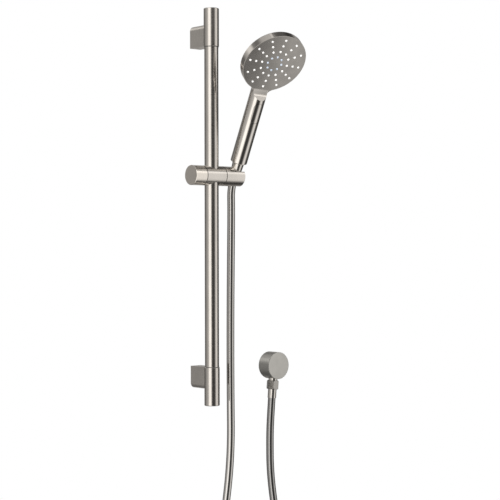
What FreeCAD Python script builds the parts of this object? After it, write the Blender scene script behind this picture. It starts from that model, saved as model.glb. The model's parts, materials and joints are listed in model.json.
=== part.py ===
import FreeCAD, Part
import math
import os

from FreeCAD import Placement, Rotation, Vector

# Rail shower set: wall rail with two brackets, sliding holder, hand shower, hose and wall outlet.
# Row frame, millimetres: X right along the wall, Y into the wall, Z up. The wall is the plane Y = 0,
# the room is at negative Y. The origin is the centre of the upper bracket's screw pattern.

# ---- rail and brackets
RAIL_LENGTH = 700.0         # over the two end sleeves
RAIL_TOP = 47.5             # top of the upper sleeve
RAIL_OD = 25.0
RAIL_ID = 22.6
RAIL_OFF_WALL = 46.5        # wall to rail axis
BRACKET_PITCH = 604.0       # centre to centre of the two brackets
SLEEVE_OD = 27.0
SLEEVE_LENGTH = 67.5
SLEEVE_CAP = 3.0
FIT = 0.05                  # radial clearance of sliding and running fits
BLOCK_WIDTH = 23.0
BLOCK_HEIGHT = 39.0
BLOCK_CORNER = 8.5
BLOCK_WALL = 2.5
BLOCK_FLOOR = 4.0           # thicker wall that the grub screw is cut in
WALL_PLATE = 4.0
WALL_HOLE_R = 2.4
WALL_HOLE_PITCH = 18.0
# ---- sliding holder
SLIDER_Z = -247.3
SLIDER_R = 17.5
KNOB_END = -46.0
KNOB_SEAM = -21.3
HOLDER_SEAM = 21.3
HOLDER_END = 63.4
SEAM = 0.7                  # gap shown between pieces that turn on each other
SEAT_X = 51.9               # cone seat axis from the rail axis
TILT = 25.11                # handset axis, forward of vertical
SWIVEL = 9.11               # handset turned about its own axis, towards -X
# ---- handset, measured along its own axis from the slider axis
HANDLE_R = 15.0
HANDLE_LOW = 28.0
HANDLE_TOP = 192.0
FACE_UP = 220.44
FACE_OUT = 23.13
FACE_TAU = 18.40            # face normal, below square to the handle
FACE_R = 58.3
RIM = 14.0
RING_R = (25.3, 37.2, 49.0)
RING_COUNT = 12
CENTRE_RING_R = 13.7
CENTRE_COUNT = 8
NOZZLE_R = 1.9
BUTTON_MID = 124.9
BUTTON_LEN = 35.7
BUTTON_R = 8.4
DUCT_Y = 5.2                # waterway in the neck, behind the handle's axis
NUT_TOP_R = 10.65           # cone nut where it leaves the handle
NUT_SLOPE = 0.06
NUT_LOW = -5.0
# ---- hose and wall outlet
HOSE_R = 7.0
ELBOW = Vector(172.0, -14.5, -592.6)
ELBOW_R = 25.0
ELBOW_DEPTH = 28.0
ELBOW_LEAN = 5.0            # outlet leans towards -X
G12_R = 10.48               # G1/2 male thread radius
SUPPLY_REACH = 16.0         # thread length that goes into the wall
LOOP_R = 92.0               # hanging loop: radius of its round bottom and that circle's centre
LOOP_X = 107.5
LOOP_Z = -1052.0

X = Vector(1, 0, 0)
Y = Vector(0, 1, 0)
Z = Vector(0, 0, 1)
O = Vector(0, 0, 0)
RAIL_Y = -RAIL_OFF_WALL
RAIL_BASE = RAIL_TOP - RAIL_LENGTH
SLIDER_O = Vector(0, RAIL_Y, SLIDER_Z)

HOLD = Placement(SLIDER_O, Rotation(X, TILT))
HAND = Placement(Vector(SEAT_X, RAIL_Y, SLIDER_Z), Rotation(X, TILT) * Rotation(Z, -SWIVEL))
FACE = Placement(Vector(0, -FACE_OUT, FACE_UP), Rotation(X, 90 + FACE_TAU))
OUTLET = Placement(ELBOW, Rotation(Y, 180 + ELBOW_LEAN))


def placed(shape, *placements):
    """A copy moved by each placement in turn, innermost first."""
    s = shape.copy()
    for p in placements:
        s.Placement = p.multiply(s.Placement)
    return s


def cyl(r, at, along, length):
    return Part.makeCylinder(r, length, at, along)


def tube(ro, ri, at, along, length):
    e = Vector(along).normalize()
    return cyl(ro, at, e, length).cut(cyl(ri, at - e * 1.0, e, length + 2.0))


def zcyl(r, z0, z1, x=0.0, y=0.0):
    return Part.makeCylinder(r, z1 - z0, Vector(x, y, z0), Z)


def ztube(ro, ri, z0, z1, x=0.0, y=0.0):
    return zcyl(ro, z0, z1, x, y).cut(zcyl(ri, z0 - 1, z1 + 1, x, y))


def xcyl(r, x0, x1, y=0.0, z=0.0):
    return Part.makeCylinder(r, x1 - x0, Vector(x0, y, z), X)


def xtube(ro, ri, x0, x1, y=0.0, z=0.0):
    return xcyl(ro, x0, x1, y, z).cut(xcyl(ri, x0 - 1, x1 + 1, y, z))


def block(x0, x1, y0, y1, z0, z1):
    return Part.makeBox(x1 - x0, y1 - y0, z1 - z0, Vector(x0, y0, z0))


def poly_face(points):
    return Part.Face(Part.makePolygon(points + [points[0]]))


def lathe(profile, axis=Z):
    """Solid of revolution from (radius, height) pairs."""
    pts = [Vector(r, 0, h) for r, h in profile]
    return poly_face(pts).revolve(O, axis, 360)


def arc_points(a, mid, b):
    return Part.Arc(a, mid, b).toShape()


def torus(major, minor, at, along):
    return Part.makeTorus(major, minor, at, along)


def coil(radius, wire, pitch, height):
    """Closed-ended spring along +Z from z = wire."""
    path = Part.makeHelix(pitch, height, radius)
    slope = pitch / (2 * math.pi * radius)
    ring = Part.Wire(Part.makeCircle(wire, Vector(radius, 0, 0), Vector(0, 1, slope)))
    return Part.Wire(path).makePipeShell([ring], True, True)


# ------------------------------------------------------------------ rail and brackets

def rail_tube():
    z0, z1 = RAIL_BASE + SLEEVE_CAP, RAIL_TOP - SLEEVE_CAP
    s = ztube(RAIL_OD / 2, RAIL_ID / 2, z0, z1, 0, RAIL_Y)
    for z in (0.0, -BRACKET_PITCH):
        s = s.cut(cyl(2.7, Vector(0, RAIL_Y, z), Y, 20))
    return s


def end_sleeve(top):
    """Cup over the rail's end, closed outside, with a hole at the back for the anchor screw."""
    ro, ri = SLEEVE_OD / 2, RAIL_OD / 2 + FIT
    c, e = 0.8, 0.4
    n = SLEEVE_LENGTH
    prof = [(0, 0), (ro - c, 0), (ro, c), (ro, n - e), (ro - e, n), (13.05, n),
            (13.05, n - 2.0), (ri, n - 2.0), (ri, SLEEVE_CAP), (0, SLEEVE_CAP)]
    s = lathe(prof)
    if top:
        s = placed(s, Placement(Vector(0, RAIL_Y, RAIL_TOP), Rotation(X, 180)))
        z = 0.0
    else:
        s = placed(s, Placement(Vector(0, RAIL_Y, RAIL_BASE), Rotation()))
        z = -BRACKET_PITCH
    return s.cut(cyl(2.7, Vector(0, RAIL_Y, z), Y, 20))


def rail_end_rings():
    rings = []
    for z0 in (RAIL_TOP - SLEEVE_LENGTH - 0.9, RAIL_BASE + SLEEVE_LENGTH - 1.9):
        rings.append(ztube(13.0, RAIL_OD / 2 + 0.03, z0, z0 + 2.8, 0, RAIL_Y))
    return Part.makeCompound(rings)


def arch(width, height, corner, floor_z, y0, y1):
    """Arched block: square corners at floor_z, rounded corners at the other end."""
    w = width / 2
    up = 1 if height > 0 else -1
    z0, z1 = floor_z, floor_z + height
    zc = z1 - up * corner
    k = corner * (1 - math.sqrt(0.5))
    edges = [
        Part.makeLine(Vector(-w, y0, z0), Vector(w, y0, z0)),
        Part.makeLine(Vector(w, y0, z0), Vector(w, y0, zc)),
        arc_points(Vector(w, y0, zc), Vector(w - k, y0, z1 - up * k), Vector(w - corner, y0, z1)),
        Part.makeLine(Vector(w - corner, y0, z1), Vector(-w + corner, y0, z1)),
        arc_points(Vector(-w + corner, y0, z1), Vector(-w + k, y0, z1 - up * k), Vector(-w, y0, zc)),
        Part.makeLine(Vector(-w, y0, zc), Vector(-w, y0, z0)),
    ]
    return Part.Face(Part.Wire(edges)).extrude(Vector(0, y1 - y0, 0))


def bracket_cover(zc, up):
    """Hollow arched post between wall and sleeve; up is +1 where the rounded end points up."""
    h = BLOCK_HEIGHT / 2
    outer = arch(BLOCK_WIDTH, up * BLOCK_HEIGHT, BLOCK_CORNER, zc - up * h, 0, RAIL_Y)
    inner = arch(BLOCK_WIDTH - 2 * BLOCK_WALL, up * (BLOCK_HEIGHT - BLOCK_WALL - BLOCK_FLOOR),
                 BLOCK_CORNER - BLOCK_WALL, zc - up * (h - BLOCK_FLOOR), 1, RAIL_Y + 18.5)
    s = outer.cut(inner)
    s = s.cut(zcyl(SLEEVE_OD / 2 + FIT, zc - 80, zc + 80, 0, RAIL_Y))
    s = s.cut(cyl(2.7, Vector(0, RAIL_Y + 5, zc), Y, 30))
    s = s.cut(zcyl(2.05, zc - up * h - 1 if up > 0 else zc + h - BLOCK_FLOOR - 1,
                   zc - h + BLOCK_FLOOR + 1 if up > 0 else zc + h + 1, 0, -8.0))
    return s


def wall_plate(zc, up):
    """Plate screwed to the wall, with a tongue that the grub screw presses on."""
    low, high = -BLOCK_HEIGHT / 2 + BLOCK_FLOOR + 0.3, BLOCK_HEIGHT / 2 - BLOCK_WALL - 0.3
    w = BLOCK_WIDTH / 2 - BLOCK_WALL - 0.3
    height = high - low
    s = arch(2 * w, up * height, BLOCK_CORNER - BLOCK_WALL - 0.3, zc + up * low, 0, -WALL_PLATE)
    t0, t1 = sorted((zc + up * low, zc + up * (low + 2.4)))
    s = s.fuse(block(-5.5, 5.5, -12.0, -WALL_PLATE + 1, t0, t1))
    for k in (-1, 1):
        s = s.cut(cyl(WALL_HOLE_R, Vector(0, 2, zc + k * WALL_HOLE_PITCH / 2), -Y, 12))
    return s.removeSplitter()


def grub(at, along, r, length, socket):
    s = cyl(r, at, along, length)
    turns = [math.pi * k / 3 for k in range(6)]
    pts = [Vector(math.cos(a) * socket, math.sin(a) * socket, 0) for a in turns]
    key = poly_face(pts).extrude(Vector(0, 0, length * 0.55))
    key.Placement = Placement(at, Rotation(Z, along))
    return s.cut(key)


def bracket_grub_screws():
    h = BLOCK_HEIGHT / 2
    a = grub(Vector(0, -8.0, -h + 0.3), Z, 2.0, BLOCK_FLOOR - 0.1, 1.1)
    b = grub(Vector(0, -8.0, -BRACKET_PITCH + h - 0.3), -Z, 2.0, BLOCK_FLOOR - 0.1, 1.1)
    return Part.makeCompound([a, b])


def rail_anchor_screws():
    out = []
    for z in (0.0, -BRACKET_PITCH):
        face = RAIL_Y + 18.5
        s = cyl(2.5, Vector(0, RAIL_Y + 1.0, z), Y, 17.5)
        s = s.fuse(cyl(4.4, Vector(0, face, z), Y, 3.0))
        pts = [Vector(2.0 * math.cos(math.pi * k / 3), face + 1.2, z + 2.0 * math.sin(math.pi * k / 3))
               for k in range(6)]
        out.append(s.cut(poly_face(pts).extrude(Vector(0, 3, 0))))
    return Part.makeCompound(out)


def rail_anchor_plugs():
    out = []
    for z in (0.0, -BRACKET_PITCH):
        s = zcyl(RAIL_ID / 2 - 0.05, z - 15, z + 15, 0, RAIL_Y)
        out.append(s.cut(cyl(2.53, Vector(0, RAIL_Y - 3, z), Y, 20)))
    return Part.makeCompound(out)


# ------------------------------------------------------------------ wall outlet

def outlet_at(q):
    """Point on the outlet's axis, q below the elbow's centre."""
    return OUTLET.multVec(Vector(0, 0, q))


def elbow_cover():
    """Round cup over the elbow, open to the wall, with a hole for the outlet."""
    r, d = ELBOW_R, ELBOW_DEPTH
    prof = [(0, 0), (r - 0.7, 0), (r - 0.2, 0.2), (r, 0.7), (r, d - 1.0), (r - 2.0, d - 1.0),
            (r - 2.0, 2.6), (0, 2.6)]
    s = lathe(prof)
    s = placed(s, Placement(Vector(ELBOW.x, -d, ELBOW.z), Rotation(X, -90)))
    return s.cut(cyl(9.2, outlet_at(12), outlet_at(13) - outlet_at(12), 25)).cut(
        cyl(1.55, Vector(ELBOW.x + 15, -9, ELBOW.z), X, 20))


def elbow_gasket():
    c = Vector(ELBOW.x, 0, ELBOW.z)
    return tube(ELBOW_R - 0.4, ELBOW_R - 4.0, c, -Y, 0.95)


def elbow_core():
    """Brass body: threaded supply nipple into the wall, round chamber, boss down to the outlet."""
    c = Vector(ELBOW.x, 0, ELBOW.z)
    down = (outlet_at(1) - outlet_at(0)).normalize()
    s = lathe([(0, -SUPPLY_REACH), (G12_R, -SUPPLY_REACH), (G12_R, 0.95), (17.0, 0.95), (17.0, 3.95),
               (12.5, 3.95), (12.5, 24.5), (0, 24.5)])
    s = placed(s, Placement(c, Rotation(X, 90)))
    s = s.fuse(cyl(9.5, outlet_at(0), down, 20.6))
    s = s.fuse(cyl(4.0, Vector(ELBOW.x + 9, -9, ELBOW.z), X, 12.5))
    s = s.cut(cyl(6.5, c + Vector(0, SUPPLY_REACH + 1, 0), -Y, SUPPLY_REACH + 19.0))
    s = s.cut(cyl(8.35, outlet_at(9.5), down, 20.0))
    s = s.cut(cyl(5.0, outlet_at(1), down, 10.0))
    s = s.cut(cyl(2.03, Vector(ELBOW.x + 14.5, -9, ELBOW.z), X, 12))
    return s


def elbow_grub_screw():
    return grub(Vector(ELBOW.x + ELBOW_R - 2.4, -9, ELBOW.z), -X, 2.0, 6.0, 1.1)


def outlet_nipple():
    """Screwed into the elbow's boss; the hose nut runs on its lower end."""
    down = (outlet_at(1) - outlet_at(0)).normalize()
    s = cyl(8.3, outlet_at(12.0), down, 24.0).fuse(cyl(9.0, outlet_at(20.65), down, 2.2))
    s = s.cut(cyl(7.0, outlet_at(11), down, 13.0))
    return s.cut(cyl(5.6, outlet_at(11), down, 30))


def check_valve_body():
    """Cartridge that clicks into the nipple, with the poppet's seat at its upper end."""
    down = (outlet_at(1) - outlet_at(0)).normalize()
    s = cyl(6.95, outlet_at(12.2), down, 11.7)
    s = s.cut(cyl(3.2, outlet_at(11), down, 4))
    s = s.cut(cyl(5.4, outlet_at(14.2), down, 7.6))
    s = s.cut(cyl(1.15, outlet_at(14), down, 12))
    for k in range(6):
        a = math.pi * k / 3
        p = OUTLET.multVec(Vector(3.5 * math.cos(a), 3.5 * math.sin(a), 20))
        s = s.cut(cyl(1.1, p, down, 6))
    return s


def check_valve_poppet():
    down = (outlet_at(1) - outlet_at(0)).normalize()
    s = cyl(4.2, outlet_at(14.3), down, 1.2).fuse(cyl(1.1, outlet_at(15), down, 7.6))
    return s.fuse(cyl(2.9, outlet_at(13.2), down, 1.5))


def check_valve_spring():
    s = coil(2.2, 0.32, 1.3, 5.2)
    return placed(s, Placement(Vector(0, 0, 15.95), Rotation()), OUTLET)


def hex_nut():
    """Hose coupling nut, twenty millimetres across flats, flats square to the wall."""
    af, low, high = 20.0, 27.8, 44.2
    rc = af / math.sqrt(3)
    pts = [Vector(rc * math.cos(math.pi * k / 3), rc * math.sin(math.pi * k / 3), low) for k in range(6)]
    s = poly_face(pts).extrude(Vector(0, 0, high - low))
    prof = [(0, low), (rc - 1.6, low), (rc + 0.05, low + 1.6), (rc + 0.05, high - 1.6), (rc - 1.6, high),
            (0, high)]
    s = s.common(lathe(prof))
    s = s.cut(zcyl(8.35, low - 1, high - 3.0)).cut(zcyl(7.45, low, high + 1))
    return placed(s, OUTLET)


def outlet_washer():
    return placed(ztube(8.2, 5.6, 36.05, 38.0), OUTLET)


def lower_ferrule():
    s = zcyl(8.2, 38.05, 41.1).fuse(zcyl(7.4, 40, 44.4)).fuse(zcyl(7.9, 44.4, 60.3))
    return placed(s.cut(zcyl(4.8, 38, 58)), OUTLET)


def hose_route():
    """Corners of the hose's centreline, from under the cone nut to the lower ferrule."""
    top = HAND.multVec(Vector(0, 0, -6.3))
    down = HAND.multVec(Vector(0, 0, -7.3)) - top
    end = outlet_at(60.35)
    back = (outlet_at(61.35) - outlet_at(60.35)).normalize()
    edge = 2 * LOOP_R * math.tan(math.radians(18))
    big = edge / 2 / math.sin(math.radians(18))
    loop = []
    for k, y in enumerate((-29.5, -27.5, -25.5, -23.5, -21.5)):
        a = math.radians(198 + 36 * k)
        loop.append((LOOP_X + big * math.cos(a), y, LOOP_Z + big * math.sin(a)))
    mid = [(52.7, -36.5, -303), (52.1, -36.2, -370), (51.0, -35.5, -495), (51.6, -34.6, -625),
           (53.6, -33.8, -748), (38.0, -32.5, -862), (19.0, -31.0, -960)] + loop + [
           (196.0, -20.5, -985), (178.0, -18.8, -900), (161.2, -16.2, -800), (161.0, -15.2, -722)]
    return [top, top + down * 17.0] + [Vector(*p) for p in mid] + [end + back * 28.0, end]


def round_path(points, first, share, last):
    """Straight runs joined by tangent arcs. Returns the wire, its length and the arc radii."""
    edges, radii, cursor = [], [], points[0]
    n = len(points)
    for i in range(1, n - 1):
        p, q, r = points[i - 1], points[i], points[i + 1]
        a, b = (p - q), (r - q)
        turn = math.pi - a.getAngle(b)
        la = a.Length * (first if i == 1 else share)
        lb = b.Length * (last if i == n - 2 else share)
        t = min(la, lb)
        radius = t / math.tan(turn / 2)
        a.normalize()
        b.normalize()
        s, e = q + a * t, q + b * t
        bis = (a + b).normalize()
        mid = q + bis * (radius / math.cos(turn / 2) - radius)
        if (s - cursor).Length > 1e-6:
            edges.append(Part.LineSegment(cursor, s).toShape())
        edges.append(Part.Arc(s, mid, e).toShape())
        radii.append(radius)
        cursor = e
    edges.append(Part.LineSegment(cursor, points[-1]).toShape())
    wire = Part.Wire(edges)
    return wire, wire.Length, radii


def hose():
    pts = hose_route()
    wire, length, radii = round_path(pts, 0.92, 0.45, 0.9)
    first = (pts[1] - pts[0]).normalize()
    ring = Part.Wire(Part.makeCircle(HOSE_R, pts[0], first))
    s = wire.makePipeShell([ring], True, False)
    area = math.pi * HOSE_R ** 2
    print("hose length %.1f, radii %s" % (length, ", ".join("%.0f" % r for r in radii)))
    print("hose volume / (section x length) = %.5f" % (s.Volume / (area * length)))
    return s


# ------------------------------------------------------------------ sliding holder

def rail_bush():
    """Split liner captive in the slider's groove."""
    s = ztube(14.0, RAIL_OD / 2 + FIT, -8.9, 8.9)
    s = s.cut(block(10, 16, -1.2, 1.2, -12, 12))
    return placed(s, Placement(SLIDER_O, Rotation()))


def slider_body():
    """Horizontal barrel on the rail with the clamp's neck on one end and the holder's pivot on the other."""
    c = 0.25
    s = lathe([(0, KNOB_SEAM), (SLIDER_R - c, KNOB_SEAM), (SLIDER_R, KNOB_SEAM + c),
               (SLIDER_R, HOLDER_SEAM - c), (SLIDER_R - c, HOLDER_SEAM), (0, HOLDER_SEAM)])
    s = placed(s, Placement(O, Rotation(Y, 90)))
    s = s.fuse(xcyl(9.0, KNOB_SEAM - 13.5, KNOB_SEAM + 1))
    s = s.cut(xtube(9.5, 7.85, KNOB_SEAM - 6.6, KNOB_SEAM - 4.6))
    s = s.cut(zcyl(RAIL_OD / 2 + 0.35, -20, 20)).cut(zcyl(14.05, -9.0, 9.0))
    s = s.cut(xcyl(4.05, KNOB_SEAM - 15, -12))
    s = s.cut(xtube(13.05, 6.45, HOLDER_SEAM - 1.5, HOLDER_SEAM + 1))
    s = s.cut(xcyl(3.03, 15.8, HOLDER_SEAM + 1))
    return placed(s, Placement(SLIDER_O, Rotation()))


def neck_ring():
    return placed(xtube(9.25, 7.9, KNOB_SEAM - 6.5, KNOB_SEAM - 4.7), Placement(SLIDER_O, Rotation()))


def clamp_shoe():
    """Pad between the knob's stud and the split liner."""
    s = xcyl(4.0, -26.0, -12.0).cut(zcyl(14.05, -10, 10))
    return placed(s, Placement(SLIDER_O, Rotation()))


def clamp_knob():
    c = 0.5
    a, b = KNOB_END, KNOB_SEAM - SEAM
    s = lathe([(0, a), (SLIDER_R - c, a), (SLIDER_R, a + c),
               (SLIDER_R, b - 0.25), (SLIDER_R - 0.25, b), (0, b)])
    s = placed(s, Placement(O, Rotation(Y, 90)))
    s = s.cut(xcyl(9.35, KNOB_SEAM - 14.3, b + 1)).cut(xcyl(4.0, a + 4.0, b))
    return placed(s, Placement(SLIDER_O, Rotation()))


def clamp_stud():
    return placed(xcyl(3.98, KNOB_END + 4.05, -26.1), Placement(SLIDER_O, Rotation()))


def pivot_screw():
    """Holds the holder on the slider; its head bears on the disc springs."""
    s = xcyl(2.98, 16.0, 37.0).fuse(xcyl(5.5, 35.6, 39.6))
    pts = [Vector(37.6, 2.2 * math.cos(math.pi * k / 3), 2.2 * math.sin(math.pi * k / 3)) for k in range(6)]
    s = s.cut(poly_face(pts).extrude(Vector(5, 0, 0)))
    return placed(s, Placement(SLIDER_O, Rotation()))


def tilt_friction_ring():
    ring = xtube(13.0, 6.5, HOLDER_SEAM - 1.45, HOLDER_SEAM + SEAM - 0.05)
    return placed(ring, Placement(SLIDER_O, Rotation()))


def tilt_disc_springs():
    out = []
    for x in (32.9, 34.2):
        prof = [(3.2, x), (3.2, x + 0.8), (6.1, x + 1.2), (6.1, x + 0.4)]
        out.append(placed(lathe(prof), Placement(O, Rotation(Y, 90))))
    return placed(Part.makeCompound(out), HOLD)


def nut_radius(s):
    return NUT_TOP_R + NUT_SLOPE * (s - HANDLE_LOW)


def seat_cut(s0, s1, extra):
    """Cone seat swept out through the holder's free end, in the holder's own frame."""
    r0, r1 = nut_radius(s0) + extra, nut_radius(s1) + extra
    c = Part.makeCone(r0, r1, s1 - s0, Vector(SEAT_X, 0, s0), Z)
    pts = [Vector(SEAT_X, -r0, s0), Vector(SEAT_X, r0, s0), Vector(SEAT_X, r1, s1), Vector(SEAT_X, -r1, s1)]
    return c.fuse(poly_face(pts).extrude(Vector(20, 0, 0)))


SEAT_STEP = 6.0


def holder_body():
    """Barrel with a cone seat, open in a U to its free end so that the hose slips in."""
    a, b, c = HOLDER_SEAM + SEAM, HOLDER_END, 0.6
    s = lathe([(0, a), (SLIDER_R - 0.25, a), (SLIDER_R, a + 0.25),
               (SLIDER_R, b - c), (SLIDER_R - c, b), (0, b)])
    s = placed(s, Placement(O, Rotation(Y, 90)))
    s = s.cut(seat_cut(SEAT_STEP, 25, 0.5)).cut(seat_cut(-25, SEAT_STEP + 0.1, 1.3))
    s = s.cut(xcyl(3.05, a - 1, 36)).cut(xcyl(6.3, 32.8, 46))
    return placed(s, HOLD)


def seat_insert():
    """Moulded liner: cone inside, horns narrower than the nut at the mouth."""
    s = seat_cut(-8.5, SEAT_STEP, 1.2)
    keep = xcyl(SLIDER_R - 0.6, 30, HOLDER_END - 0.5)
    s = s.common(keep)
    r0, r1 = nut_radius(-10) + 0.1, nut_radius(8) + 0.1
    s = s.cut(Part.makeCone(r0, r1, 18, Vector(SEAT_X, 0, -10), Z))
    s = s.cut(block(SEAT_X, SEAT_X + 30, -7.7, 7.7, -20, 20))
    return placed(s, HOLD)


# ------------------------------------------------------------------ handset

def cone_nut():
    """Knurl-free cone nut of the hose; its threaded top hides inside the handle."""
    z0, z1 = NUT_LOW, HANDLE_LOW + 0.2
    prof = [(7.3, z0), (nut_radius(z0) - 0.4, z0), (nut_radius(z0 + 0.4), z0 + 0.4), (NUT_TOP_R, z1),
            (11.9, z1), (11.9, 44.8), (G12_R + FIT, 44.8), (G12_R + FIT, 30.0), (7.3, 30.0)]
    return placed(lathe(prof), HAND)


def upper_ferrule():
    """Crimped hose end that turns freely in the nut."""
    s = zcyl(7.2, -6.0, 31.0).fuse(zcyl(9.8, 30.05, 31.5))
    return placed(s.cut(zcyl(4.8, -4.0, 33)), HAND)


def inlet_washer():
    return placed(ztube(10.2, 6.0, 31.55, 33.5), HAND)


def inlet_nipple():
    """Male thread of the handset with the flange that closes the handle."""
    s = zcyl(G12_R, 33.55, 46).fuse(zcyl(12.4, 45, 50))
    s = s.cut(zcyl(7.5, 33, 42)).cut(zcyl(6.0, 40, 52)).cut(zcyl(8.05, 47.5, 52))
    return placed(s, HAND)


def flow_limiter():
    s = zcyl(7.4, 38.5, 41.5)
    for k in range(6):
        a = math.pi * k / 3
        s = s.cut(zcyl(0.9, 38, 43, 4.4 * math.cos(a), 4.4 * math.sin(a)))
    return placed(s, HAND)


def waterway_tube():
    return placed(ztube(8.0, 6.4, 47.6, 99.9), HAND)


def head_outline(grow):
    """Face in the face frame: the head's circle flowing into the neck; grow is added all round."""
    big, half, rf = FACE_R + grow, 14.6 + grow, 14.0 - grow
    yc = -math.sqrt((big + rf) ** 2 - (half + rf) ** 2)
    k = big / (big + rf)
    tx, ty = (half + rf) * k, yc * k
    cx = half + rf
    to_line = Vector(-1, 0, 0)
    to_ring = Vector(tx - cx, ty - yc, 0).normalize()
    mid_dir = (to_line + to_ring).normalize()
    mr = Vector(cx, yc, 0) + mid_dir * rf
    ml = Vector(-mr.x, mr.y, 0)
    low = -76.0
    edges = [
        Part.Arc(Vector(-tx, ty, 0), Vector(0, big, 0), Vector(tx, ty, 0)).toShape(),
        Part.Arc(Vector(tx, ty, 0), mr, Vector(half, yc, 0)).toShape(),
        Part.makeLine(Vector(half, yc, 0), Vector(half, low, 0)),
        Part.makeLine(Vector(half, low, 0), Vector(-half, low, 0)),
        Part.makeLine(Vector(-half, low, 0), Vector(-half, yc, 0)),
        Part.Arc(Vector(-half, yc, 0), ml, Vector(-tx, ty, 0)).toShape(),
    ]
    return Part.Face(Part.Wire(edges))


BEND_V = -62.6
BEND_R = 12.0
BEND_TURN = 62.4
SEAM_TURN = 42.0


def front_cutter(depth, turn, run):
    """Space in front of the head's face and over the lip on the handle, in the face frame.
    depth sets the surface back into the material, turn is how far round the bend it goes."""
    tan_len = BEND_R * math.tan(math.radians(BEND_TURN / 2))
    start = BEND_V + tan_len
    r = BEND_R + depth
    a1, am = math.radians(turn), math.radians(turn / 2)

    def at(angle, radius):
        return Vector(0, start - radius * math.sin(angle), BEND_R - radius * math.cos(angle))

    p0, pm, p1 = at(0, r), at(am, r), at(a1, r)
    far = p1 + Vector(0, -math.cos(a1), math.sin(a1)) * run
    top = 90.0
    return start, p0, pm, p1, far, top, at


def cutter_solid():
    start, p0, pm, p1, far, top, at = front_cutter(0.0, BEND_TURN, 45.0)
    near, corner = Vector(0, top, 0), Vector(0, top, far.z)
    edges = [Part.makeLine(near, p0), Part.Arc(p0, pm, p1).toShape(), Part.makeLine(p1, far),
             Part.makeLine(far, corner), Part.makeLine(corner, near)]
    f = Part.Face(Part.Wire(edges))
    f.translate(Vector(-70, 0, 0))
    return f.extrude(Vector(140, 0, 0))


def plate_zone(d0, d1, turn):
    """Slab that follows the face between depths d0 and d1 and part of the way round the bend."""
    start, p0, pm, p1, far, top, at = front_cutter(d0, turn, 1.0)
    q = front_cutter(d1, turn, 1.0)
    q0, qm, q1 = q[1], q[2], q[3]
    edges = [Part.makeLine(Vector(0, top, -d0), p0), Part.Arc(p0, pm, p1).toShape(), Part.makeLine(p1, q1),
             Part.Arc(q1, qm, q0).toShape(), Part.makeLine(q0, Vector(0, top, -d1)),
             Part.makeLine(Vector(0, top, -d1), Vector(0, top, -d0))]
    f = Part.Face(Part.Wire(edges))
    f.translate(Vector(-70, 0, 0))
    return f.extrude(Vector(140, 0, 0))


def handset_outer():
    """Outside of handle and head in the handset's frame, before anything is hollowed."""
    r = FACE_R
    low = Vector(r - 2.2, 0, -RIM)
    edges = [
        Part.makeLine(Vector(0, 0, 0), Vector(r - 0.9, 0, 0)),
        Part.makeLine(Vector(r - 0.9, 0, 0), Vector(r, 0, -0.9)),
        Part.makeLine(Vector(r, 0, -0.9), Vector(r, 0, -RIM + 2.0)),
        Part.Arc(Vector(r, 0, -RIM + 2.0), Vector(r - 0.7, 0, -RIM + 0.6), low).toShape(),
        Part.Arc(low, Vector(30, 0, -RIM - 3.4), Vector(0, 0, -RIM - 4.6)).toShape(),
        Part.makeLine(Vector(0, 0, -RIM - 4.6), Vector(0, 0, 0)),
    ]
    disc = Part.Face(Part.Wire(edges)).revolve(O, Z, 360)
    neck = head_outline(0.0).extrude(Vector(0, 0, -5.0))
    neck = neck.cut(Part.makeCylinder(FACE_R - 3, 20, Vector(0, 0, -10), Z))
    neck = neck.cut(block(-80, 80, -90, -66.4, -10, 10))
    c = 1.0
    stick = lathe([(0, HANDLE_LOW), (HANDLE_R - c, HANDLE_LOW), (HANDLE_R, HANDLE_LOW + c),
                   (HANDLE_R, HANDLE_TOP), (0, HANDLE_TOP)])
    ball = Part.makeSphere(HANDLE_R, Vector(0, 0, HANDLE_TOP))
    s = stick.fuse(ball).removeSplitter()
    s = s.cut(placed(cutter_solid(), FACE))
    s = s.fuse(placed(neck, FACE)).fuse(placed(disc, FACE))
    return s


def stadium(radius, length, mid, y0, y1):
    h = length / 2 - radius
    s = block(-radius, radius, y0, y1, mid - h, mid + h)
    for k in (-1, 1):
        s = s.fuse(cyl(radius, Vector(0, y0, mid + k * h), Y, y1 - y0))
    return s.removeSplitter()


def face_plate_blank(grow):
    """Face plate before its nozzle holes: follows the face and turns up into the neck."""
    zone = plate_zone(-1.0 if grow > 0 else 0.0, 2.0 + 0.1 * grow, SEAM_TURN + 6 * grow)
    inset = head_outline(-1.1 + grow * 0.1).extrude(Vector(0, 0, 40))
    inset.translate(Vector(0, 0, -20))
    s = zone.common(inset)
    s = placed(s, FACE)
    limit = zcyl(HANDLE_R - 0.9 + grow * 0.1, 100, 400)
    head = Part.makeCylinder(FACE_R, 40, Vector(0, 0, -20), Z)
    return s.common(limit.fuse(placed(head, FACE)))


def nozzle_spots():
    for radius in RING_R:
        for k in range(RING_COUNT):
            a = 2 * math.pi * k / RING_COUNT
            yield radius * math.sin(a), radius * math.cos(a)


def centre_spots():
    for k in range(CENTRE_COUNT):
        a = 2 * math.pi * k / CENTRE_COUNT
        yield CENTRE_RING_R * math.sin(a), CENTRE_RING_R * math.cos(a)


def handset_shell():
    """Handle and head body: bored handle, head cavity, recess for the plate, window for the button."""
    s = handset_outer()
    s = s.cut(face_plate_blank(0.5))
    s = s.cut(placed(zcyl(53.0, -12.2, 0.5), FACE))
    s = s.cut(zcyl(12.5, HANDLE_LOW - 1, 146.0))
    s = s.cut(zcyl(7.0, 145, 190.0, 0, DUCT_Y))
    n = Vector(0, -math.cos(math.radians(FACE_TAU)), -math.sin(math.radians(FACE_TAU)))
    s = s.cut(cyl(5.5, Vector(0, 7.0, 187.0), n, 16.0))
    s = s.cut(stadium(BUTTON_R + 0.45, BUTTON_LEN + 0.9, BUTTON_MID, -20, 0))
    return placed(s, HAND)


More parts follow.
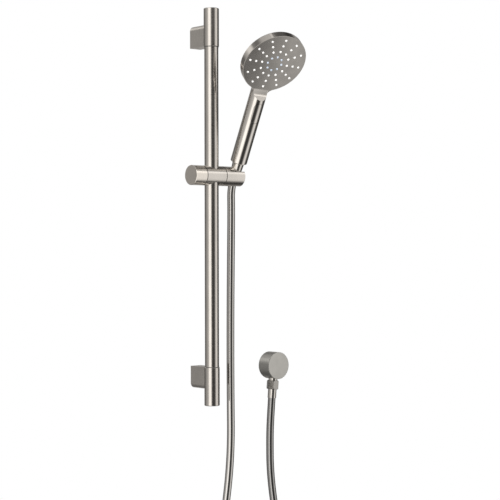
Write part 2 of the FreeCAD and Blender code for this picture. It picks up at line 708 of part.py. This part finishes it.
def face_plate():
    s = face_plate_blank(0.0)
    spots = list(nozzle_spots()) + list(centre_spots())
    holes = [placed(zcyl(NOZZLE_R + 0.1, -4, 2, x, y), FACE) for x, y in spots]
    return placed(s.cut(Part.makeCompound(holes)), HAND)


def nozzle(x, y):
    return placed(lathe([(0, -2.5), (NOZZLE_R, -2.5), (NOZZLE_R, 0.5), (NOZZLE_R - 0.4, 0.9), (0.55, 0.9),
                         (0.55, -1.5), (0, -1.5)]), Placement(Vector(x, y, 0), Rotation()))


def nozzle_mat():
    s = ztube(52.0, 17.2, -4.0, -2.1)
    s = s.fuse([nozzle(x, y) for x, y in nozzle_spots()])
    return placed(s, FACE, HAND)


def centre_nozzle_mat():
    s = zcyl(16.8, -4.0, -2.1)
    s = s.fuse([nozzle(x, y) for x, y in centre_spots()])
    return placed(s, FACE, HAND)


def spray_chamber():
    """Distributor behind the mats: outer channel, inner well and a floor with two ports."""
    s = zcyl(52.4, -10.4, -4.05)
    s = s.cut(ztube(49.5, 19.5, -8.6, -4.0)).cut(zcyl(16.8, -8.6, -4.0))
    for x, y in ((0, -27.0), (0, -9.0)):
        s = s.cut(zcyl(2.6, -12, -4, x, y))
    return placed(s, FACE, HAND)


def chamber_seal():
    return placed(ztube(52.6, 50.2, -12.1, -10.45), FACE, HAND)


def head_duct():
    s = ztube(6.9, 5.2, 144.9, 186.0, 0, DUCT_Y)
    return placed(s.cut(placed(zcyl(53.0, -12.4, 0.5), FACE)), HAND)


def diverter_body():
    """Valve block under the button: spool bore across it, waterways along it."""
    s = zcyl(12.3, 100.0, 144.8).cut(block(-15, 15, -20, -7.0, 90, 150))
    s = s.cut(cyl(4.05, Vector(0, -9, BUTTON_MID), Y, 17.0))
    s = s.cut(zcyl(5.0, 99, 117)).cut(zcyl(2.2, 110, BUTTON_MID, 0, -0.5))
    s = s.cut(zcyl(2.0, BUTTON_MID, 146, -2.4, 4.5)).cut(zcyl(2.0, BUTTON_MID, 146, 2.4, 4.5))
    for z in (103.0, 141.0):
        s = s.cut(ztube(13.5, 11.0, z - 1.1, z + 1.1))
    return placed(s, HAND)


def diverter_orings():
    out = []
    for z in (103.0, 141.0):
        out.append(torus(11.95, 0.52, Vector(0, 0, z), Z).cut(block(-15, 15, -20, -6.9, z - 3, z + 3)))
    return placed(Part.makeCompound(out), HAND)


def push_button():
    """Flush pill-shaped button; its outside follows the handle."""
    s = stadium(BUTTON_R, BUTTON_LEN, BUTTON_MID, -20, -12.0)
    s = s.common(zcyl(HANDLE_R - 0.05, 90, 160))
    s = s.fuse(cyl(2.6, Vector(0, -12.5, BUTTON_MID), Y, 6.0))
    return placed(s, HAND)


def diverter_spool():
    s = cyl(4.0, Vector(0, -6.4, BUTTON_MID), Y, 11.4)
    for y, wide in ((-2.5, 2.4), (1.4, 2.0)):
        s = s.cut(tube(5, 2.6, Vector(0, y, BUTTON_MID), Y, wide))
    return placed(s, HAND)


def button_spring():
    s = coil(3.6, 0.35, 1.2, 3.6)
    return placed(s, Placement(Vector(0, -7.55, BUTTON_MID), Rotation(X, 90)), HAND)


NODES = {
    "rail_tube": rail_tube,
    "upper_end_sleeve": lambda: end_sleeve(True),
    "lower_end_sleeve": lambda: end_sleeve(False),
    "rail_end_rings": rail_end_rings,
    "upper_bracket_cover": lambda: bracket_cover(0.0, 1),
    "lower_bracket_cover": lambda: bracket_cover(-BRACKET_PITCH, -1),
    "upper_wall_plate": lambda: wall_plate(0.0, 1),
    "lower_wall_plate": lambda: wall_plate(-BRACKET_PITCH, -1),
    "bracket_grub_screws": bracket_grub_screws,
    "rail_anchor_screws": rail_anchor_screws,
    "rail_anchor_plugs": rail_anchor_plugs,
    "elbow_cover": elbow_cover,
    "elbow_gasket": elbow_gasket,
    "elbow_core": elbow_core,
    "elbow_grub_screw": elbow_grub_screw,
    "outlet_nipple": outlet_nipple,
    "check_valve_body": check_valve_body,
    "check_valve_poppet": check_valve_poppet,
    "check_valve_spring": check_valve_spring,
    "hose_hex_nut": hex_nut,
    "outlet_washer": outlet_washer,
    "lower_ferrule": lower_ferrule,
    "hose": hose,
    "rail_bush": rail_bush,
    "slider_body": slider_body,
    "neck_ring": neck_ring,
    "pivot_screw": pivot_screw,
    "tilt_friction_ring": tilt_friction_ring,
    "clamp_shoe": clamp_shoe,
    "clamp_knob": clamp_knob,
    "clamp_stud": clamp_stud,
    "holder_body": holder_body,
    "seat_insert": seat_insert,
    "tilt_disc_springs": tilt_disc_springs,
    "upper_ferrule": upper_ferrule,
    "cone_nut": cone_nut,
    "inlet_washer": inlet_washer,
    "inlet_nipple": inlet_nipple,
    "flow_limiter": flow_limiter,
    "handset_shell": handset_shell,
    "waterway_tube": waterway_tube,
    "diverter_body": diverter_body,
    "diverter_orings": diverter_orings,
    "head_duct": head_duct,
    "face_plate": face_plate,
    "nozzle_mat": nozzle_mat,
    "centre_nozzle_mat": centre_nozzle_mat,
    "spray_chamber": spray_chamber,
    "chamber_seal": chamber_seal,
    "push_button": push_button,
    "diverter_spool": diverter_spool,
    "button_spring": button_spring,
}

os.makedirs("parts", exist_ok=True)
for name, make in NODES.items():
    shape = make()
    box = shape.BoundBox
    print("%-20s solids %d valid %s volume %.0f  x %.1f..%.1f y %.1f..%.1f z %.1f..%.1f" % (
        name, len(shape.Solids), shape.isValid(), shape.Volume,
        box.XMin, box.XMax, box.YMin, box.YMax, box.ZMin, box.ZMax))
    shape.exportStep("parts/%s.step" % name)
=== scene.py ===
import math
import json
import bpy
from mathutils import Matrix, Vector

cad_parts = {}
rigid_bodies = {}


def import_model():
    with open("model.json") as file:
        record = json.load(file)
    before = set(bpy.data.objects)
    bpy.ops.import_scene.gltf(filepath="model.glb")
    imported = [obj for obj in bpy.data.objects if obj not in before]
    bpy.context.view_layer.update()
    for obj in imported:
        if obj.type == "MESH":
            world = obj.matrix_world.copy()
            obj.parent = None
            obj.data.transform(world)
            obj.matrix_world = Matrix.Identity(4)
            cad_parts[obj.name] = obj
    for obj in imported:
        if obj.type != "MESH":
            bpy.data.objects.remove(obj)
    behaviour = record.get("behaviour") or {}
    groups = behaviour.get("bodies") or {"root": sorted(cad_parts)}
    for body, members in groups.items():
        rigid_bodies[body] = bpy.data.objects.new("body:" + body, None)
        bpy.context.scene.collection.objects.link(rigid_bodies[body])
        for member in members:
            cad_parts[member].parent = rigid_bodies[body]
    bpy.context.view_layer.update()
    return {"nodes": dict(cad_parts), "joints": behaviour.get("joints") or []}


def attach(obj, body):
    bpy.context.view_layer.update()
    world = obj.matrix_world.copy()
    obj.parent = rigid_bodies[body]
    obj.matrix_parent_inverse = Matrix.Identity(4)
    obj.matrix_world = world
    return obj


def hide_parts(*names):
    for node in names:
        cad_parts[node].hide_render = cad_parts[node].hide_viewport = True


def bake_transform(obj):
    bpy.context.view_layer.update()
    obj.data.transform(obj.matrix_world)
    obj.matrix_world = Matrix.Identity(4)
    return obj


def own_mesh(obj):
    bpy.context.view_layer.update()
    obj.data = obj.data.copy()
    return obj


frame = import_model()
nodes = frame["nodes"]

# ---- where things are, in metres in the part's frame
RAIL_OFF_WALL = 0.0465
SLIDER_Z = -0.2473
SEAT_X = 0.0519
TILT, SWIVEL = 25.11, 9.11
FACE_OUT, FACE_UP, FACE_TAU = 0.02313, 0.22044, 18.40
VIEW_AZIMUTH = math.radians(40.0)
VIEW_PITCH = 0.0017
VIEW_ROLL = 0.0022
VIEW_DISTANCE = 2.560
VIEW_SIDE = 0.0674              # the camera's aim passes this far to the right of the rail
VIEW_HEIGHT = -0.374
FOCAL_MM = 104.54
HOSE_DIAMETER = 0.014
HOSE_LENGTH = 1.495
HOSE_PITCH = 0.0026             # of the hose's fine spiral
UNSHADED_TO, SHADED_FROM = 0.45, 0.75   # shares of the hose's length between which its colour darkens, as painted shade on the strand to the wall outlet
SWIVEL_LOW, TILT_LOW, LIFT_LOW = -0.50, -0.335, -0.283   # down to where the hose is cut into a piece for each joint
SEAM_X = 0.02165                # middle of the slider's seams, either side of the rail
SEAM_DARK_HALF_WIDTH = 0.0008
BRUSH_SCALE = (45, 45, 3200)    # brushed lines: changes in a metre round the axis, and along it
BRUSH_DEPTH = 0.00003
MOULD_GRAIN, MOULD_DEPTH = 0.25, 0.00003
SPIRAL_STRENGTH, SPIRAL_DEPTH = 0.03, 0.0002
FLOOR_Z = -1.36                 # clear of the loop when the slider is at its lowest
FLOOR_RADIUS = 0.9
FLOOR_SIDES = 96
SENSOR_MM = 36

# the hose's route from the handset to the wall outlet, as its solid has it
HOSE_ROUTE = [
    (0.0519, -0.04383, -0.2530), (0.0519, -0.03661, -0.2684), (0.0527, -0.0365, -0.303),
    (0.0521, -0.0362, -0.370), (0.0510, -0.0355, -0.495), (0.0516, -0.0346, -0.625),
    (0.0536, -0.0338, -0.748), (0.038, -0.0325, -0.862), (0.019, -0.031, -0.960),
    (0.0155, -0.0295, -1.0819), (0.0506, -0.0275, -1.1303), (0.1075, -0.0255, -1.1487),
    (0.1644, -0.0235, -1.1303), (0.1995, -0.0215, -1.0819),
    (0.196, -0.0205, -0.985), (0.178, -0.0188, -0.900), (0.1612, -0.0162, -0.800),
    (0.161, -0.0152, -0.722), (0.1643, -0.0145, -0.6806), (0.16674, -0.0145, -0.6527),
]


# ---------------------------------------------------------------- materials
def shaded(colour, share):
    return tuple(min(1.0, c * share) for c in colour)


def shader(name, colour, metallic, rough):
    mat = bpy.data.materials.new(name)
    mat.use_nodes = True
    tree = mat.node_tree
    bsdf = tree.nodes["Principled BSDF"]
    bsdf.inputs["Base Color"].default_value = (*colour, 1)
    bsdf.inputs["Metallic"].default_value = metallic
    bsdf.inputs["Roughness"].default_value = rough
    return mat, tree, bsdf


def maths(tree, kind, *values):
    """One Math node, fed by numbers or by other nodes' outputs."""
    node = tree.nodes.new("ShaderNodeMath")
    node.operation = kind
    for i, value in enumerate(values):
        if isinstance(value, (int, float)):
            node.inputs[i].default_value = value
        else:
            tree.links.new(value, node.inputs[i])
    return node.outputs["Value"]


def local(tree, place):
    """The piece's coordinates as seen from the frame that place puts at its origin."""
    source = tree.nodes.new("ShaderNodeTexCoord")
    turn = tree.nodes.new("ShaderNodeMapping")
    turn.vector_type = "TEXTURE"
    turn.inputs["Location"].default_value = place.translation
    turn.inputs["Rotation"].default_value = place.to_euler()
    tree.links.new(source.outputs["Object"], turn.inputs["Vector"])
    return turn.outputs["Vector"]


def noise(tree, scale, stretch=(1, 1, 1), place=Matrix(), detail=3.0):
    """Noise in the frame at place, stretched along its axes."""
    size = tree.nodes.new("ShaderNodeMapping")
    size.inputs["Scale"].default_value = stretch
    out = tree.nodes.new("ShaderNodeTexNoise")
    out.inputs["Scale"].default_value = scale
    out.inputs["Detail"].default_value = detail
    tree.links.new(local(tree, place), size.inputs["Vector"])
    tree.links.new(size.outputs["Vector"], out.inputs["Vector"])
    return out.outputs["Fac"]


def spread(tree, value, low, high):
    """A noise's usual range, spread over low to high."""
    out = tree.nodes.new("ShaderNodeMapRange")
    out.inputs["From Min"].default_value = 0.25
    out.inputs["From Max"].default_value = 0.75
    out.inputs["To Min"].default_value = low
    out.inputs["To Max"].default_value = high
    tree.links.new(value, out.inputs["Value"])
    return out.outputs["Result"]


def tint(tree, bsdf, value, dark, light):
    """Colours the surface from dark to light by value."""
    ramp = tree.nodes.new("ShaderNodeValToRGB")
    ramp.color_ramp.elements[0].position = 0.3
    ramp.color_ramp.elements[0].color = (*dark, 1)
    ramp.color_ramp.elements[1].position = 0.7
    ramp.color_ramp.elements[1].color = (*light, 1)
    tree.links.new(value, ramp.inputs["Fac"])
    tree.links.new(ramp.outputs["Color"], bsdf.inputs["Base Color"])


def bump(tree, bsdf, height, strength, distance, under=None):
    """Relief from height, on top of the relief under it if there is one."""
    node = tree.nodes.new("ShaderNodeBump")
    node.inputs["Strength"].default_value = strength
    node.inputs["Distance"].default_value = distance
    tree.links.new(height, node.inputs["Height"])
    if under:
        tree.links.new(under, node.inputs["Normal"])
    tree.links.new(node.outputs["Normal"], bsdf.inputs["Normal"])
    return node.outputs["Normal"]


def brushed(name, colour, rough, place=Matrix(), grain=0.05, crown=0.0):
    """Metal brushed round the Z axis of the frame at place: fine lines across it, faint smudges all over.
    crown is how fast a flat face rounds off to its sides along that frame's X, as a slope for each metre."""
    mat, tree, bsdf = shader(name, colour, 1.0, rough)
    lines = noise(tree, 1.0, BRUSH_SCALE, place, detail=1.0)
    smudge = noise(tree, 38.0, detail=2.0)
    under = None
    if crown:
        flat = tree.nodes.new("ShaderNodeVectorMath")
        flat.operation = "MULTIPLY"
        flat.inputs[1].default_value = (1, 0, 0)
        square = tree.nodes.new("ShaderNodeVectorMath")
        square.operation = "DOT_PRODUCT"
        tree.links.new(local(tree, place), flat.inputs[0])
        tree.links.new(flat.outputs["Vector"], square.inputs[0])
        tree.links.new(flat.outputs["Vector"], square.inputs[1])
        drop = maths(tree, "MULTIPLY", square.outputs["Value"], -crown / 2)
        under = bump(tree, bsdf, drop, 1.0, 1.0)
    bump(tree, bsdf, lines, grain, BRUSH_DEPTH, under)
    tree.links.new(spread(tree, lines, rough - 0.04, rough + 0.05), bsdf.inputs["Roughness"])
    tint(tree, bsdf, smudge, shaded(colour, 0.955), shaded(colour, 1.03))
    return mat


def painted_seam_shade(mat, places, half_width, shade):
    """Darkens the metal in narrow rings round the X axis: painted shade where the seams' gaps lie in shadow.
    """
    tree = mat.node_tree
    bsdf = tree.nodes["Principled BSDF"]
    under = bsdf.inputs["Base Color"].links[0].from_socket
    source = tree.nodes.new("ShaderNodeTexCoord")
    part = tree.nodes.new("ShaderNodeSeparateXYZ")
    tree.links.new(source.outputs["Object"], part.inputs["Vector"])
    painted_shade_mask = 0.0
    for at in places:
        painted_shade_mask = maths(tree, "MAXIMUM", painted_shade_mask, maths(tree, "COMPARE", part.outputs["X"], at, half_width))
    mix = tree.nodes.new("ShaderNodeMixRGB")
    tree.links.new(painted_shade_mask, mix.inputs["Fac"])
    tree.links.new(under, mix.inputs["Color1"])
    mix.inputs["Color2"].default_value = (*shade, 1)
    tree.links.new(mix.outputs["Color"], bsdf.inputs["Base Color"])


def polished(name, colour, rough):
    """Plated metal with a faint haze."""
    mat, tree, bsdf = shader(name, colour, 1.0, rough)
    haze = noise(tree, 160.0)
    tree.links.new(spread(tree, haze, rough - 0.02, rough + 0.05), bsdf.inputs["Roughness"])
    tint(tree, bsdf, haze, shaded(colour, 0.96), colour)
    return mat


def moulded(name, colour, rough, grain_scale, depth, sheen=0.0):
    """Plastic or rubber with a fine mould grain and a slight mottle."""
    mat, tree, bsdf = shader(name, colour, 0.0, rough)
    grain = noise(tree, grain_scale)
    mottle = noise(tree, 70.0)
    bump(tree, bsdf, grain, MOULD_GRAIN, depth)
    tree.links.new(spread(tree, grain, rough - 0.05, rough + 0.07), bsdf.inputs["Roughness"])
    tint(tree, bsdf, mottle, shaded(colour, 0.93), colour)
    bsdf.inputs["Sheen Weight"].default_value = sheen
    return mat


def hose_metal():
    """Fine spiral along the hose's own length, with painted shade darkening it towards the wall outlet.
    It reads the piece's UV map: U round the hose, V metres along it."""
    # painted shade: the second, darker colour is the same metal, darkened along the hose towards the wall
    # outlet
    colour, dull = (0.60, 0.587, 0.570), (0.37, 0.365, 0.360)
    mat, tree, bsdf = shader("hose_metal", colour, 1.0, 0.13)
    uv = tree.nodes.new("ShaderNodeUVMap")
    uv.uv_map = "along"
    part = tree.nodes.new("ShaderNodeSeparateXYZ")
    tree.links.new(uv.outputs["UV"], part.inputs["Vector"])
    turns = maths(tree, "MULTIPLY_ADD", part.outputs["Y"], 1 / HOSE_PITCH, part.outputs["X"])
    ridge = maths(tree, "POWER", maths(tree, "PINGPONG", turns, 0.5), 0.5)
    bump(tree, bsdf, ridge, SPIRAL_STRENGTH, SPIRAL_DEPTH)
    # painted shade: darkens the colour along the last part of the hose's length, by position
    painted_shade_ramp = tree.nodes.new("ShaderNodeMapRange")
    painted_shade_ramp.inputs["From Min"].default_value = HOSE_LENGTH * SHADED_FROM
    painted_shade_ramp.inputs["From Max"].default_value = HOSE_LENGTH * UNSHADED_TO
    tree.links.new(part.outputs["Y"], painted_shade_ramp.inputs["Value"])
    patches = spread(tree, noise(tree, 60.0), 0.27, 0.33)
    shade_and_patches = maths(tree, "MULTIPLY_ADD", painted_shade_ramp.outputs["Result"], 0.4, patches)
    tint(tree, bsdf, shade_and_patches, dull, colour)
    return mat


def turned(axis, degrees):
    return Matrix.Rotation(math.radians(degrees), 4, axis)


# frames of the handset and of its face, as the solids have them
HAND = Matrix.Translation((SEAT_X, -RAIL_OFF_WALL, SLIDER_Z)) @ turned("X", TILT) @ turned("Z", -SWIVEL)
FACE = HAND @ Matrix.Translation((0, -FACE_OUT, FACE_UP)) @ turned("X", 90 + FACE_TAU)
ACROSS = turned("Y", 90)
TO_WALL = turned("X", 90)
NICKEL = (0.655, 0.625, 0.590)
SEAM_SHADE = (0.16, 0.15, 0.14)

paint = {
    "rail": brushed("brushed_nickel_rail", NICKEL, 0.18, grain=0.015),
    "cover": brushed("brushed_nickel_cover", NICKEL, 0.30, TO_WALL, 0.10),
    "slider": brushed("brushed_nickel_slider", NICKEL, 0.20, ACROSS),
    # painted light: the knob is the slider's nickel, brightened and warmed for the light its disc shows
    "knob": brushed("brushed_nickel_knob_painted_light", (0.80, 0.755, 0.70), 0.22, ACROSS),
    "elbow": brushed("brushed_nickel_elbow", (0.47, 0.465, 0.445), 0.30, TO_WALL),
    "shell": brushed("plated_handset", (0.70, 0.67, 0.635), 0.11, HAND, 0.03),
    "face": brushed("satin_face", (0.55, 0.530, 0.506), 0.22, FACE, 0.04, -1.9),
    "nuts": polished("polished_nickel", (0.68, 0.655, 0.62), 0.14),
    # painted shade: the hex nut is polished nickel, darkened for the dark reflections in its facets
    "hexes": polished("polished_nickel_painted_shade", (0.36, 0.35, 0.335), 0.12),
    "steel": polished("stainless_steel", (0.62, 0.62, 0.62), 0.25),
    "brass": polished("machined_brass", (0.71, 0.58, 0.33), 0.30),
    "rubber": moulded("black_rubber", (0.03, 0.03, 0.03), 0.6, 1400, MOULD_DEPTH, 0.2),
    "plastic": moulded("grey_acetal", (0.42, 0.42, 0.42), 0.45, 1200, MOULD_DEPTH),
    "seat": moulded("dark_seat_plastic", (0.10, 0.10, 0.10), 0.42, 1200, MOULD_DEPTH),
    "nozzle": moulded("white_silicone", (0.97, 0.97, 0.96), 0.5, 1500, MOULD_DEPTH, 0.1),
    "centre": moulded("grey_blue_silicone", (0.55, 0.62, 0.72), 0.5, 1500, MOULD_DEPTH, 0.1),
}
# painted shade: dark rings on the slider and knob at their seams, either side of the rail
for look in ("slider", "knob"):
    painted_seam_shade(paint[look], (-SEAM_X, SEAM_X), SEAM_DARK_HALF_WIDTH, SEAM_SHADE)
WEARS = {
    "rail": ["rail_tube", "upper_end_sleeve", "lower_end_sleeve"],
    "cover": ["upper_bracket_cover", "lower_bracket_cover"],
    "slider": ["slider_body", "holder_body"],
    "knob": ["clamp_knob"],
    "elbow": ["elbow_cover"],
    "shell": ["handset_shell", "push_button"],
    "face": ["face_plate"],
    "nuts": ["cone_nut", "upper_ferrule", "lower_ferrule", "outlet_nipple"],
    "hexes": ["hose_hex_nut"],
    "steel": ["upper_wall_plate", "lower_wall_plate", "bracket_grub_screws", "rail_anchor_screws",
              "elbow_grub_screw", "pivot_screw", "clamp_stud", "tilt_disc_springs", "check_valve_spring",
              "button_spring"],
    "brass": ["rail_anchor_plugs", "elbow_core", "inlet_nipple"],
    "rubber": ["rail_end_rings", "elbow_gasket", "outlet_washer", "inlet_washer", "neck_ring",
               "diverter_orings", "chamber_seal"],
    "plastic": ["rail_bush", "clamp_shoe", "tilt_friction_ring", "check_valve_body",
                "check_valve_poppet", "flow_limiter", "waterway_tube", "diverter_body", "diverter_spool",
                "head_duct", "spray_chamber"],
    "seat": ["seat_insert"],
    "nozzle": ["nozzle_mat"],
    "centre": ["centre_nozzle_mat"],
}
for look, names in WEARS.items():
    for name in names:
        for held in nodes[name].material_slots:
            held.link = "OBJECT"
            held.material = paint[look]


# ---------------------------------------------------------------- hose
def spline_points(route):
    """Points read from the smooth line that has the route's points as its controls."""
    curve = bpy.data.curves.new("route", "CURVE")
    curve.dimensions = "3D"
    line = curve.splines.new("NURBS")
    line.points.add(len(route) - 1)
    for point, at in zip(line.points, route):
        point.co = (*at, 1)
    line.order_u = 3
    line.use_endpoint_u = True
    line.resolution_u = 24
    holder = bpy.data.objects.new("route", curve)
    bpy.context.scene.collection.objects.link(holder)
    bpy.context.view_layer.update()
    mesh = bpy.data.meshes.new_from_object(holder)
    points = [v.co.copy() for v in mesh.vertices]
    bpy.data.objects.remove(holder)
    return points


def frames_along(points):
    """At each point: the distance from the start, and two directions across the line that don't twist."""
    side = Vector((1, 0, 0))
    run = 0.0
    out = []
    for i, p in enumerate(points):
        a, b = points[max(i - 1, 0)], points[min(i + 1, len(points) - 1)]
        along = (b - a).normalized()
        side = (side - along * side.dot(along)).normalized()
        run += (p - points[i - 1]).length if i else 0.0
        out.append((p, run, side.copy(), along.cross(side)))
    return out


def hose_piece(name, stations, sides=28):
    """A tube round the stations, with its own length as V."""
    radius = HOSE_DIAMETER / 2
    corners, faces, spots = [], [], []
    for p, run, u, v in stations:
        for k in range(sides):
            a = 2 * math.pi * k / sides
            corners.append(p + (u * math.cos(a) + v * math.sin(a)) * radius)
    for i in range(len(stations) - 1):
        for k in range(sides):
            n = (k + 1) % sides
            faces.append((i * sides + k, i * sides + n, (i + 1) * sides + n, (i + 1) * sides + k))
            low, high = stations[i][1], stations[i + 1][1]
            spots += [(k / sides, low), ((k + 1) / sides, low), ((k + 1) / sides, high), (k / sides, high)]
    mesh = bpy.data.meshes.new(name)
    mesh.from_pydata(corners, [], faces)
    layer = mesh.uv_layers.new(name="along")
    for loop, spot in zip(layer.data, spots):
        loop.uv = spot
    mesh.shade_smooth()
    mesh.materials.append(paint["hose"])
    piece = bpy.data.objects.new(name, mesh)
    bpy.context.scene.collection.objects.link(piece)
    return piece


paint["hose"] = hose_metal()
line = frames_along(spline_points(HOSE_ROUTE))
if line[0][0].z < line[-1][0].z:
    line.reverse()


def first_below(z):
    return next(i for i, station in enumerate(line) if station[0].z < z)


turn_left = min(range(len(line)), key=lambda i: line[i][0].x)
turn_right = max(range(len(line)), key=lambda i: line[i][0].x)
cuts = [0, first_below(LIFT_LOW), first_below(TILT_LOW), first_below(SWIVEL_LOW), turn_left, turn_right,
        len(line) - 1]
names = ["hose_top", "hose_neck", "hose_upper", "hose_left", "hose_loop", "hose_right"]
hose = {name: hose_piece(name, line[a:b + 1]) for name, a, b in zip(names, cuts, cuts[1:])}


# above the strand, the pieces are listed with the bodies either side of their joints, but only baked in place
for name, low_body, high_body in [("hose_top", "holder", "hose_end"), ("hose_neck", "slider", "holder"),
                                  ("hose_upper", "carriage", "slider")]:
    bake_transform(hose[name])
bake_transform(hose["hose_left"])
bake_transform(hose["hose_right"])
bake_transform(hose["hose_loop"])
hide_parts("hose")


# ---------------------------------------------------------------- springs
def sprung(name, joint_name):
    """A copy of a coil spring in steel, attached to its joint's parent body in place of the original."""
    joint = next(j for j in frame["joints"] if j["name"] == joint_name)
    mesh = nodes[name].data.copy()
    mesh.materials.clear()
    mesh.materials.append(paint["steel"])
    coil = bpy.data.objects.new(name + "_coil", mesh)
    bpy.context.scene.collection.objects.link(coil)
    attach(coil, joint["parent"])
    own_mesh(coil)
    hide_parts(name)


sprung("button_spring", "button_press")
sprung("check_valve_spring", "valve_open")


# ---------------------------------------------------------------- studio
# brightness of the surroundings by direction, low down and high up. Directions are degrees to the
# right of the camera, as the object sees it
LOW_PANELS = [(-180, 0.45), (-160, 0.30), (-140, 0.14), (-118, 0.16), (-101, 0.34), (-77, 0.46), (-52, 0.66),
              (-42, 1.50), (-14, 1.55), (-4, 0.45), (6, 0.05), (42, 0.06), (54, 0.25), (64, 0.80), (78, 1.00),
              (92, 1.02), (103, 0.30), (120, 0.06), (140, 0.05), (165, 0.20), (180, 0.45)]
HIGH_PANELS = [(-180, 0.40), (-166, 0.18), (-140, 1.15), (-110, 0.62), (-77, 0.60), (-52, 0.80), (-42, 1.50),
               (-14, 1.55), (-4, 1.10), (6, 0.70), (42, 0.60), (64, 0.80), (78, 1.02), (92, 1.05),
               (103, 0.40), (120, 0.12), (140, 0.12), (165, 0.30), (180, 0.40)]
# heights between which the high panels take over, from -1 straight down to 1 straight up
HIGH_FROM, HIGH_AT = 0.16, 0.40
# the share of all that brightness by height
HEIGHTS = [(-1.0, 0.45), (-0.75, 0.90), (-0.40, 1.0), (0.0, 1.0), (0.32, 1.0), (0.44, 1.45), (0.54, 1.45),
           (0.62, 0.45), (0.72, 0.30), (0.79, 0.35), (0.88, 0.85), (1.0, 0.95)]


def ramp_of(tree, stops, value):
    """The level at value, in straight steps between the stops."""
    ramp = tree.nodes.new("ShaderNodeValToRGB")
    band = ramp.color_ramp
    low, high = stops[0][0], stops[-1][0]
    most = max(level for _, level in stops)
    while len(band.elements) < len(stops):
        band.elements.new(0.5)
    for element, (at, level) in zip(band.elements, stops):
        element.position = (at - low) / (high - low)
        element.color = (level / most, level / most, level / most, 1)
    scaled = tree.nodes.new("ShaderNodeMapRange")
    scaled.inputs["From Min"].default_value = low
    scaled.inputs["From Max"].default_value = high
    tree.links.new(value, scaled.inputs["Value"])
    tree.links.new(scaled.outputs["Result"], ramp.inputs["Fac"])
    return maths(tree, "MULTIPLY", ramp.outputs["Color"], most)


def studio():
    """Soft light panels round the object, and a white background behind it."""
    world = bpy.data.worlds.new("studio")
    bpy.context.scene.world = world
    world.use_nodes = True
    tree = world.node_tree
    tree.nodes.clear()
    place = tree.nodes.new("ShaderNodeTexCoord")
    part = tree.nodes.new("ShaderNodeSeparateXYZ")
    tree.links.new(place.outputs["Generated"], part.inputs["Vector"])
    east, north, up = part.outputs["X"], part.outputs["Y"], part.outputs["Z"]
    c, s = math.cos(VIEW_AZIMUTH), math.sin(VIEW_AZIMUTH)
    right = maths(tree, "SUBTRACT", maths(tree, "MULTIPLY", east, c), maths(tree, "MULTIPLY", north, s))
    towards = maths(tree, "ADD", maths(tree, "MULTIPLY", east, -s), maths(tree, "MULTIPLY", north, -c))
    heading = maths(tree, "MULTIPLY", maths(tree, "ARCTAN2", right, towards), 180 / math.pi)
    low, high = ramp_of(tree, LOW_PANELS, heading), ramp_of(tree, HIGH_PANELS, heading)
    share = ramp_of(tree, [(-1.0, 0.0), (HIGH_FROM, 0.0), (HIGH_AT, 1.0), (1.0, 1.0)], up)
    panels = maths(tree, "MULTIPLY_ADD", maths(tree, "SUBTRACT", high, low), share, low)
    level = maths(tree, "MULTIPLY", panels, ramp_of(tree, HEIGHTS, up))
    soft = tree.nodes.new("ShaderNodeBackground")
    tree.links.new(level, soft.inputs["Strength"])
    soft.inputs["Color"].default_value = (1.0, 0.975, 0.94, 1)
    plain = tree.nodes.new("ShaderNodeBackground")
    plain.inputs["Color"].default_value = (1, 1, 1, 1)
    rays = tree.nodes.new("ShaderNodeLightPath")
    mix = tree.nodes.new("ShaderNodeMixShader")
    out = tree.nodes.new("ShaderNodeOutputWorld")
    tree.links.new(rays.outputs["Is Camera Ray"], mix.inputs["Fac"])
    tree.links.new(soft.outputs["Background"], mix.inputs[1])
    tree.links.new(plain.outputs["Background"], mix.inputs[2])
    tree.links.new(mix.outputs["Shader"], out.inputs["Surface"])


def soft_light(name, at, size, power, aim):
    """Lights dull surfaces only, so the panels' pattern in the metal stays as it is."""
    lamp = bpy.data.lights.new(name, "AREA")
    lamp.shape = "DISK"
    lamp.size = size
    lamp.energy = power
    holder = bpy.data.objects.new(name, lamp)
    holder.location = at
    holder.rotation_euler = (Vector(aim) - Vector(at)).to_track_quat("-Z", "Y").to_euler()
    holder.visible_glossy = False
    bpy.context.scene.collection.objects.link(holder)


def floor():
    """A pale disc under the hose's loop."""
    mesh = bpy.data.meshes.new("floor")
    turns = [2 * math.pi * k / FLOOR_SIDES for k in range(FLOOR_SIDES)]
    rim = [(FLOOR_RADIUS * math.cos(a), FLOOR_RADIUS * math.sin(a) - 0.1, FLOOR_Z) for a in turns]
    mesh.from_pydata(rim, [], [tuple(range(FLOOR_SIDES))])
    pale = bpy.data.materials.new("pale_floor")
    pale.use_nodes = True
    pale.node_tree.nodes["Principled BSDF"].inputs["Base Color"].default_value = (0.94, 0.94, 0.94, 1)
    pale.node_tree.nodes["Principled BSDF"].inputs["Roughness"].default_value = 0.8
    mesh.materials.append(pale)
    disc = bpy.data.objects.new("floor", mesh)
    disc.visible_glossy = False
    bpy.context.scene.collection.objects.link(disc)


def camera():
    """Level, to the left of the rail, looking VIEW_AZIMUTH to the right of square to the wall."""
    right = Vector((math.cos(VIEW_AZIMUTH), -math.sin(VIEW_AZIMUTH), 0))
    ahead = Vector((math.sin(VIEW_AZIMUTH), math.cos(VIEW_AZIMUTH), 0))
    lens = bpy.data.cameras.new("camera")
    lens.lens = FOCAL_MM
    lens.sensor_width = SENSOR_MM
    holder = bpy.data.objects.new("camera", lens)
    holder.location = Vector((0, -RAIL_OFF_WALL, VIEW_HEIGHT)) - ahead * VIEW_DISTANCE + right * VIEW_SIDE
    holder.rotation_euler = (math.pi / 2 - VIEW_PITCH, VIEW_ROLL, -VIEW_AZIMUTH)
    bpy.context.scene.collection.objects.link(holder)
    bpy.context.scene.camera = holder


camera()
studio()
soft_light("key", (-1.4, -1.8, 0.6), 1.2, 60, (0.05, -0.1, -0.3))
soft_light("fill", (1.0, -1.8, 0.2), 1.2, 10, (0.05, -0.1, -0.5))
floor()
bpy.context.scene.view_settings.view_transform = "Standard"
